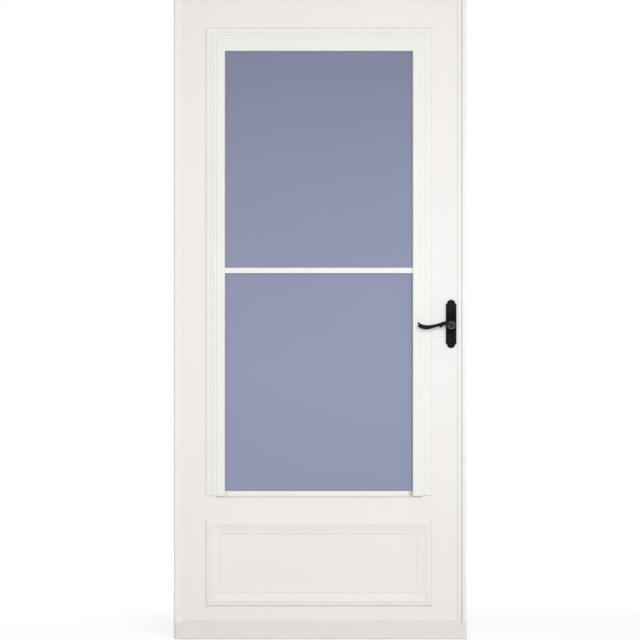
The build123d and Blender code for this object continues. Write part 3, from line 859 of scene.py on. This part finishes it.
class STORMDOOR_OT_trim(bpy.types.Operator):
    """Thin trim: edge seal, a grey strip that paints the shadow under the window's foot, dark bars that
    paint the shade in a sash latch's grip grooves, foot bead and the rail's lip
    """

    bl_idname = "storm_door.trim"
    bl_label = "Model the trim"

    def execute(self, context):
        rail_low, rail_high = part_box("latch_edge_rail")
        bar_low, bar_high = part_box("latch_z_bar")
        nose = rail_high.x + 6 * MM
        edge_seal = block(
            (nose - 5.2 * MM, bar_low.y + 0.8 * MM, bar_low.z),
            (nose - 0.05 * MM, bar_low.y + 4 * MM, bar_high.z),
        )
        dress(soften(edge_seal, 0.6 * MM, 3), "latch_edge_seal", "frame", "edge_vinyl", "grey_vinyl")

        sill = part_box("window_sill")[0]
        trim_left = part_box("window_trim_left")[1].x
        trim_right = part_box("window_trim_right")[0].x
        # A grey strip along the sill's front paints the shadow under the window's foot.
        shadow_strip = block(
            (trim_left, sill.y - 0.8 * MM, sill.z - 1.6 * MM),
            (trim_right, sill.y + 0.2 * MM, sill.z + 1.8 * MM),
        )
        dress(soften(shadow_strip, 0.4 * MM), "sill_shadow_strip", "door", "shadow_strip_vinyl", "grey_vinyl")

        # Dark bars over the right latch's grip grooves paint the grooves' shade.
        latch_low, latch_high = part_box("sash_latches")
        grip_shades = []
        for share in (0.2, 0.7):
            grip_z = latch_low.z + (latch_high.z - latch_low.z) * share
            grip_shades.append(block(
                (latch_high.x - 11 * MM, latch_low.y - 0.15 * MM, grip_z - 0.9 * MM),
                (latch_high.x - 0.2 * MM, latch_low.y + 0.3 * MM, grip_z + 0.9 * MM),
            ))
        dress(soften(joined(grip_shades), 0.1 * MM), "latch_grip_shades", "door", "grip_shade_vinyl", "grey_vinyl")

        channel_low, channel_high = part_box("bottom_expander")
        foot_bead = block(
            (channel_low.x, channel_low.y + 0.6 * MM, 0.4 * MM),
            (channel_high.x, channel_low.y + 2 * MM, channel_low.z + 0.6 * MM),
        )
        dress(soften(foot_bead, 0.3 * MM), "foot_bead", "door", "edge_vinyl", "grey_vinyl")

        lip = block(
            (rail_low.x - 2.2 * MM, slab_low.y - 0.4 * MM, slab_low.z),
            (rail_low.x + 2.6 * MM, slab_low.y, slab_high.z),
        )
        dress(soften(lip, 0.2 * MM), "edge_rail_lip", "door", "lip_vinyl", "white_vinyl")
        return {"FINISHED"}


class STORMDOOR_OT_screws(bpy.types.Operator):
    """Screws of the lock, the inner plate and the channel, and the plugs in the inner casing"""

    bl_idname = "storm_door.screws"
    bl_label = "Model the screws and plugs"

    def execute(self, context):
        hardware = context.scene.door_hardware
        radius = hardware.screw_radius
        inset = 6 * MM
        face_low, face_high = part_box("latch_faceplate")
        strike_low, strike_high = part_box("strike_plate")
        plate_low, plate_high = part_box("inside_escutcheon")
        channel_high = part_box("bottom_expander")[1]
        casing_low, casing_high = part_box("inside_casing")
        face_y = (face_low.y + face_high.y) / 2
        strike_y = (strike_low.y + strike_high.y) / 2

        face_heights = (face_low.z + inset, face_high.z - inset)
        face_places = [((face_high.x, face_y, z), (1, 0, 0)) for z in face_heights]
        face_screws = copies(screw_head(radius * 0.8), face_places)
        dress(face_screws, "faceplate_screws", "door", "zinc_plate", "zinc_steel")

        strike_heights = (strike_low.z + 2 * inset, strike_high.z - 2 * inset)
        strike_places = [((strike_low.x, strike_y, z), (-1, 0, 0)) for z in strike_heights]
        strike_screws = copies(screw_head(radius * 0.8), strike_places)
        dress(strike_screws, "strike_screws", "frame", "zinc_plate", "zinc_steel")

        plate_face = plate_high.y - ROSE[-1][1] * MM
        plate_inset = 14 * MM
        plate_heights = (plate_low.z + plate_inset, plate_high.z - plate_inset)
        plate_places = [((SPINDLE_X, plate_face, z), IN) for z in plate_heights]
        plate_screws = copies(screw_head(radius), plate_places)
        dress(plate_screws, "plate_screws", "door", "rubbed_bronze", "dark_bronze")

        channel_count = 5
        channel_z = 36 * MM
        spacing = (slab_high.x - slab_low.x) / channel_count
        channel_across = [slab_low.x + spacing * (index + 0.5) for index in range(channel_count)]
        channel_places = [((x, channel_high.y, channel_z), IN) for x in channel_across]
        channel_screws = copies(screw_head(radius * 1.2), channel_places)
        dress(channel_screws, "channel_screws", "door", "zinc_plate", "zinc_steel")

        rim = 26 * MM
        left, right = casing_low.x + rim, casing_high.x - rim
        foot, head = casing_low.z + 0.6 * rim, casing_high.z - rim
        rows = 6
        heights = [foot + (head - foot) / (rows - 1) * row for row in range(rows)]
        thirds = [left + (right - left) * share / 3 for share in (1, 2)]
        plug_places = [((x, casing_high.y, z), IN) for z in heights for x in (left, right)]
        plug_places += [((x, casing_high.y, z), IN) for x in thirds for z in (foot, head)]
        plug = turned(PLUG_HEAD, (0, 0, 0), (0, 0, 1), 28, hardware.plug_radius)
        dress(copies(plug, plug_places), "casing_plugs", "door", "satin_vinyl_upright", "white_vinyl")
        return {"FINISHED"}


class STORMDOOR_OT_stage(bpy.types.Operator):
    """Pale floor, white surroundings, soft lamps and the camera straight in front"""

    bl_idname = "storm_door.stage"
    bl_label = "Set the stage"

    def execute(self, context):
        stage = context.scene.door_stage
        self.floor()
        self.surroundings(context, stage.sky)
        middle = Vector((stage.view_x, slab_low.y, stage.view_z))
        self.lamp("front_lamp", Vector((1.6, -8.0, 2.2)), middle, 2.5, stage.front)
        self.lamp("fill_lamp", Vector((0.5, -2.4, 1.15)), Vector((0.5, 0, 1.0)), 1.0, stage.fill)
        self.lamp("back_lamp", Vector((-1.2, 5.0, 2.4)), middle, 3.0, stage.back)
        key = self.lamp("key_lamp", Vector((1.3, -0.8, 1.12)), middle + Vector((0.4, 0, 0)), 0.5, stage.key)
        key.data.color = (0.55, 0.85, 1.0)
        begin()
        bpy.ops.object.camera_add(
            location=middle + OUT * stage.camera_distance, rotation=(pi / 2, 0, 0),
        )
        camera = context.object
        camera.name = "camera"
        camera.data.lens = camera.data.sensor_width * stage.camera_distance / stage.picture_size
        camera.data.clip_end = 100
        context.scene.camera = camera
        context.scene.view_settings.view_transform = "Standard"
        return {"FINISHED"}

    def floor(self):
        """Large floor: white with the door's shadow to the camera, an even white in reflections."""
        begin()
        bpy.ops.mesh.primitive_plane_add(size=60, location=(0, 0, -0.5 * MM))
        floor = bpy.context.object
        floor.name = "floor"
        finish = bpy.data.materials.new("pale_floor")
        finish.use_nodes = True
        tree = finish.node_tree
        tree.nodes.clear()
        output = tree.nodes.new("ShaderNodeOutputMaterial")
        both = tree.nodes.new("ShaderNodeAddShader")
        matt = tree.nodes.new("ShaderNodeBsdfDiffuse")
        glow = tree.nodes.new("ShaderNodeEmission")
        matt.inputs["Color"].default_value = (0.6, 0.6, 0.6, 1)
        glow.inputs["Color"].default_value = (1, 1, 1, 1)
        far = tree.nodes.new("ShaderNodeVectorMath")
        far.operation = "LENGTH"
        tree.links.new(place(tree, (1, 1, 1)), far.inputs[0])
        strength = tree.nodes.new("ShaderNodeMath")
        strength.operation = "MULTIPLY"
        tree.links.new(seen_directly(tree), strength.inputs[0])
        tree.links.new(between(tree, far.outputs["Value"], 0.5, 0.78, 2, 6), strength.inputs[1])
        tree.links.new(strength.outputs["Value"], glow.inputs["Strength"])
        tree.links.new(matt.outputs["BSDF"], both.inputs[0])
        tree.links.new(glow.outputs["Emission"], both.inputs[1])
        mirrored = tree.nodes.new("ShaderNodeEmission")
        mirrored.inputs["Color"].default_value = (1, 1, 1, 1)
        mirrored.inputs["Strength"].default_value = 1
        path = tree.nodes.new("ShaderNodeLightPath")
        mix = tree.nodes.new("ShaderNodeMixShader")
        tree.links.new(path.outputs["Is Glossy Ray"], mix.inputs["Fac"])
        tree.links.new(both.outputs["Shader"], mix.inputs[1])
        tree.links.new(mirrored.outputs["Emission"], mix.inputs[2])
        tree.links.new(mix.outputs["Shader"], output.inputs["Surface"])
        floor.data.materials.append(finish)

    def surroundings(self, context, sky):
        """World that lights evenly and looks white to the camera and in reflections."""
        world = bpy.data.worlds.new("surroundings")
        world.use_nodes = True
        tree = world.node_tree
        tree.nodes.clear()
        output = tree.nodes.new("ShaderNodeOutputWorld")
        ground = tree.nodes.new("ShaderNodeBackground")
        ground.inputs["Color"].default_value = (1, 1, 1, 1)
        strength = between(tree, seen_directly(tree), sky, 1, 0, 1)
        tree.links.new(strength, ground.inputs["Strength"])
        tree.links.new(ground.outputs["Background"], output.inputs["Surface"])
        context.scene.world = world

    def lamp(self, name, spot, target, size, power):
        """Square soft lamp aimed at a point."""
        begin()
        bpy.ops.object.light_add(type="AREA", location=spot)
        lamp = bpy.context.object
        lamp.name = name
        lamp.rotation_mode = "QUATERNION"
        lamp.rotation_quaternion = (target - spot).to_track_quat("-Z", "Y")
        lamp.data.size = size
        lamp.data.energy = power
        lamp.visible_camera = False
        lamp.visible_glossy = False
        return lamp


def seen_directly(tree):
    """One for camera, glossy and transmission rays, and nothing for the rest."""
    path = tree.nodes.new("ShaderNodeLightPath")
    reached = path.outputs["Is Camera Ray"]
    for ray in ("Is Glossy Ray", "Is Transmission Ray"):
        either = tree.nodes.new("ShaderNodeMath")
        either.operation = "MAXIMUM"
        tree.links.new(reached, either.inputs[0])
        tree.links.new(path.outputs[ray], either.inputs[1])
        reached = either.outputs["Value"]
    return reached


STEPS = (
    STORMDOOR_OT_finishes, STORMDOOR_OT_hinge, STORMDOOR_OT_levers, STORMDOOR_OT_plates,
    STORMDOOR_OT_seals, STORMDOOR_OT_trim, STORMDOOR_OT_screws, STORMDOOR_OT_stage,
)
GROUPS = {"door_finishes": DoorFinishes, "door_hardware": DoorHardware, "door_stage": DoorStage}


class STORMDOOR_PT_panel(bpy.types.Panel):
    """Lists the door's steps and values"""

    bl_label = "Storm door"
    bl_idname = "STORMDOOR_PT_panel"
    bl_space_type = "VIEW_3D"
    bl_region_type = "UI"
    bl_category = "Storm door"

    def draw(self, context):
        for step in STEPS:
            self.layout.operator(step.bl_idname)
        for group, kind in GROUPS.items():
            box = self.layout.box()
            for key in kind.__annotations__:
                box.prop(getattr(context.scene, group), key)


def register():
    for kind in (*GROUPS.values(), *STEPS, STORMDOOR_PT_panel):
        bpy.utils.register_class(kind)
    for group, kind in GROUPS.items():
        setattr(bpy.types.Scene, group, PointerProperty(type=kind))


def unregister():
    for group in GROUPS:
        delattr(bpy.types.Scene, group)
    for kind in (STORMDOOR_PT_panel, *reversed(STEPS), *reversed(GROUPS.values())):
        bpy.utils.unregister_class(kind)


def main():
    register()
    bpy.ops.storm_door.finishes()
    bpy.ops.storm_door.hinge()
    bpy.ops.storm_door.levers()
    bpy.ops.storm_door.plates()
    bpy.ops.storm_door.seals()
    bpy.ops.storm_door.trim()
    bpy.ops.storm_door.screws()
    bpy.ops.storm_door.stage()


if __name__ == "__main__":
    main()
